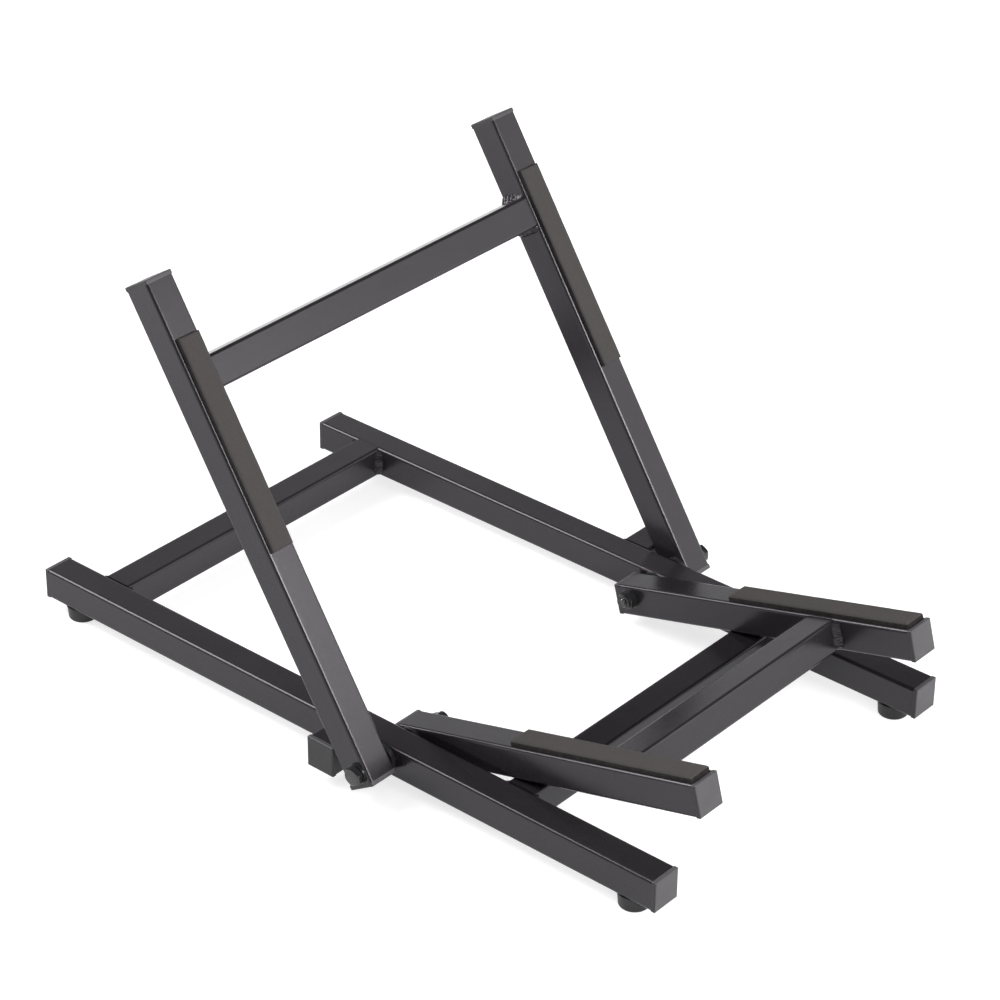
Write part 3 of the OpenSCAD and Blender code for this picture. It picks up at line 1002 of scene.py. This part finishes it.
# Softboxes: name, azimuth from straight back towards the right, elevation, distance, width, height
# and brightness, where 1 is as bright as a white floor
LAMPS = (
    ("back_left_box", -29.0, 42.0, 2.4, 1.36, 1.36, 10.0),
    (FRONT_BOX, 174.0, 26.5, 2.4, 1.8, 0.5, 17.5),
    ("front_left_box", -125.0, 55.0, 2.2, 1.2, 1.2, 1.6),
    ("right_panel", 135.0, 17.0, 2.6, 1.9, 1.3, 1.55),
    ("right_front_box", 149.0, 24.0, 2.5, 0.9, 1.0, 1.5),
    ("back_right_panel", 46.0, 19.0, 2.6, 1.8, 1.1, 0.5),
    ("back_right_strip", 46.0, 8.0, 2.5, 1.8, 0.5, 0.3),
)
LAMP_TARGET = Vector((0.0, 0.0, 0.1))


def seen_rays(tree):
    """1 for camera rays, and 1 for rays that are mirrored or pass through clear pieces."""
    path = tree.nodes.new("ShaderNodeLightPath")
    mirrored = work_out(
        tree, "ADD", path.outputs["Is Glossy Ray"], path.outputs["Is Transmission Ray"]
    )
    return path.outputs["Is Camera Ray"], mirrored


def floor_material(tint):
    """Pale floor, shown lighter than it is lit and white further out, with the stand's shadow."""
    material = bpy.data.materials.new("floor")
    material.use_nodes = True
    tree = material.node_tree
    tree.nodes.clear()
    output = tree.nodes.new("ShaderNodeOutputMaterial")
    diffuse = tree.nodes.new("ShaderNodeBsdfDiffuse")
    diffuse.inputs["Color"].default_value = (*tint, 1.0)
    glow = tree.nodes.new("ShaderNodeEmission")
    away = tree.nodes.new("ShaderNodeVectorMath")
    away.operation = "LENGTH"
    coords = tree.nodes.new("ShaderNodeTexCoord")
    tree.links.new(coords.outputs["Object"], away.inputs[0])
    level = fade(tree, away.outputs["Value"], GLOW_START, GLOW_END, NEAR_GLOW, 1.0)
    camera, mirrored = seen_rays(tree)
    seen = work_out(tree, "MULTIPLY", work_out(tree, "ADD", camera, mirrored), level)
    strength = work_out(tree, "MULTIPLY_ADD", camera, SHADOW_LIFT, seen)
    tree.links.new(strength, glow.inputs["Strength"])
    both = tree.nodes.new("ShaderNodeAddShader")
    tree.links.new(diffuse.outputs[0], both.inputs[0])
    tree.links.new(glow.outputs[0], both.inputs[1])
    tree.links.new(both.outputs[0], output.inputs["Surface"])
    return material


def studio_world():
    """Dim studio whose backdrop is white to the camera, and low down in reflections."""
    world = bpy.data.worlds.new("studio")
    world.use_nodes = True
    tree = world.node_tree
    back = tree.nodes["Background"]
    back.inputs["Color"].default_value = (1.0, 1.0, 1.0, 1.0)
    parts = tree.nodes.new("ShaderNodeSeparateXYZ")
    coords = tree.nodes.new("ShaderNodeTexCoord")
    tree.links.new(coords.outputs["Generated"], parts.inputs["Vector"])
    low_down = fade(tree, parts.outputs["Z"], BACKDROP_START, BACKDROP_END, 1.0, 0.0)
    camera, mirrored = seen_rays(tree)
    seen = work_out(tree, "ADD", camera, work_out(tree, "MULTIPLY", mirrored, low_down))
    strength = work_out(tree, "MULTIPLY_ADD", seen, 1.0 - STUDIO_LEVEL, STUDIO_LEVEL)
    tree.links.new(strength, back.inputs["Strength"])
    return world


def direction(azimuth, elevation):
    """A direction, its azimuth from straight back towards the right."""
    level = math.cos(elevation)
    return Vector((math.sin(azimuth) * level, math.cos(azimuth) * level, math.sin(elevation)))


def add_lamp(name, azimuth, elevation, distance, width, height, level):
    """A rectangular softbox that points at the middle of the stand."""
    away = direction(math.radians(azimuth), math.radians(elevation))
    light = bpy.data.lights.new(name, "AREA")
    light.shape = "RECTANGLE"
    light.size = width
    light.size_y = height
    light.energy = level * math.pi * width * height
    lamp = bpy.data.objects.new(name, light)
    lamp.location = LAMP_TARGET + away * distance
    lamp.rotation_euler = (-away).to_track_quat("-Z", "Y").to_euler()
    bpy.context.scene.collection.objects.link(lamp)
    return lamp


def split_pieces():
    """The pieces that the front box glints in, and those that only take its light."""
    pieces = [item for item in bpy.context.scene.objects if item.type == "MESH"]
    glossy = [item for item in pieces if any(word in item.name for word in GLINTING)]
    return glossy, [item for item in pieces if item not in glossy]


def light_only(lamp, name, pieces):
    """Lets a lamp light these pieces and nothing else."""
    group = bpy.data.collections.new(name)
    for piece in pieces:
        group.objects.link(piece)
    lamp.light_linking.receiver_collection = group


class STAND_OT_build_stage(bpy.types.Operator):
    """Lay the floor and set the lamps and the camera"""

    bl_idname = "stand.build_stage"
    bl_label = "Build the stage"

    def execute(self, context):
        stage = context.scene.stand_stage
        self.lay_floor(stage)
        self.set_lamps()
        self.set_camera(context.scene, stage)
        context.scene.view_settings.view_transform = "Standard"
        return {"FINISHED"}

    @staticmethod
    def lay_floor(stage):
        bpy.ops.object.select_all(action="DESELECT")
        bpy.ops.mesh.primitive_plane_add(size=stage.floor_size, location=(0, 0, 0))
        floor = bpy.context.object
        floor.name = "floor"
        floor.data.materials.append(floor_material(stage.floor))

    @staticmethod
    def set_lamps():
        bpy.context.scene.world = studio_world()
        for name, *settings in LAMPS:
            lamp = add_lamp(name, *settings)
            if name == FRONT_BOX:
                glossy, matte = split_pieces()
                twin = add_lamp("matte_front_box", *settings)
                twin.visible_glossy = False
                light_only(twin, "matte_pieces", matte)
                light_only(lamp, "glossy_pieces", glossy)

    @staticmethod
    def set_camera(scene, stage):
        across = Vector((math.cos(stage.azimuth), -math.sin(stage.azimuth), 0.0))
        ahead = direction(stage.azimuth, -stage.elevation)
        upward = across.cross(ahead)
        right = across * math.cos(stage.roll) + upward * math.sin(stage.roll)
        upward = right.cross(ahead)
        data = bpy.data.cameras.new("camera")
        data.lens = stage.lens
        data.sensor_width = 36.0
        camera = bpy.data.objects.new("camera", data)
        turn = Matrix((right, upward, -ahead)).transposed().to_4x4()
        camera.matrix_world = Matrix.Translation(stage.camera_place) @ turn
        scene.collection.objects.link(camera)
        scene.camera = camera


class STAND_PT_panel(bpy.types.Panel):
    """Settings and steps of the stand"""

    bl_idname = "STAND_PT_panel"
    bl_label = "Amplifier stand"
    bl_space_type = "VIEW_3D"
    bl_region_type = "UI"
    bl_category = "Stand"

    def draw(self, context):
        layout = self.layout
        scene = context.scene
        for group in (scene.stand_finish, scene.stand_pieces, scene.stand_stage):
            box = layout.box()
            for name in group.__annotations__:
                box.prop(group, name)
        for step in STEPS:
            layout.operator(step.bl_idname)


STEPS = (
    STAND_OT_coat_steel,
    STAND_OT_finish_caps,
    STAND_OT_finish_feet,
    STAND_OT_finish_hardware,
    STAND_OT_lay_weld_beads,
    STAND_OT_make_pivot_bolts,
    STAND_OT_make_foot_screws,
    STAND_OT_cut_strips,
    STAND_OT_build_stage,
)
CLASSES = (StandFinish, StandPieces, StandStage, *STEPS, STAND_PT_panel)


def register():
    for item in CLASSES:
        bpy.utils.register_class(item)
    bpy.types.Scene.stand_finish = PointerProperty(type=StandFinish)
    bpy.types.Scene.stand_pieces = PointerProperty(type=StandPieces)
    bpy.types.Scene.stand_stage = PointerProperty(type=StandStage)


def unregister():
    del bpy.types.Scene.stand_stage
    del bpy.types.Scene.stand_pieces
    del bpy.types.Scene.stand_finish
    for item in reversed(CLASSES):
        bpy.utils.unregister_class(item)


def main():
    register()
    bpy.ops.stand.coat_steel()
    bpy.ops.stand.finish_caps()
    bpy.ops.stand.finish_feet()
    bpy.ops.stand.finish_hardware()
    bpy.ops.stand.lay_weld_beads()
    bpy.ops.stand.make_pivot_bolts()
    bpy.ops.stand.make_foot_screws()
    bpy.ops.stand.cut_strips()
    bpy.ops.stand.build_stage()


if __name__ == "__main__":
    main()
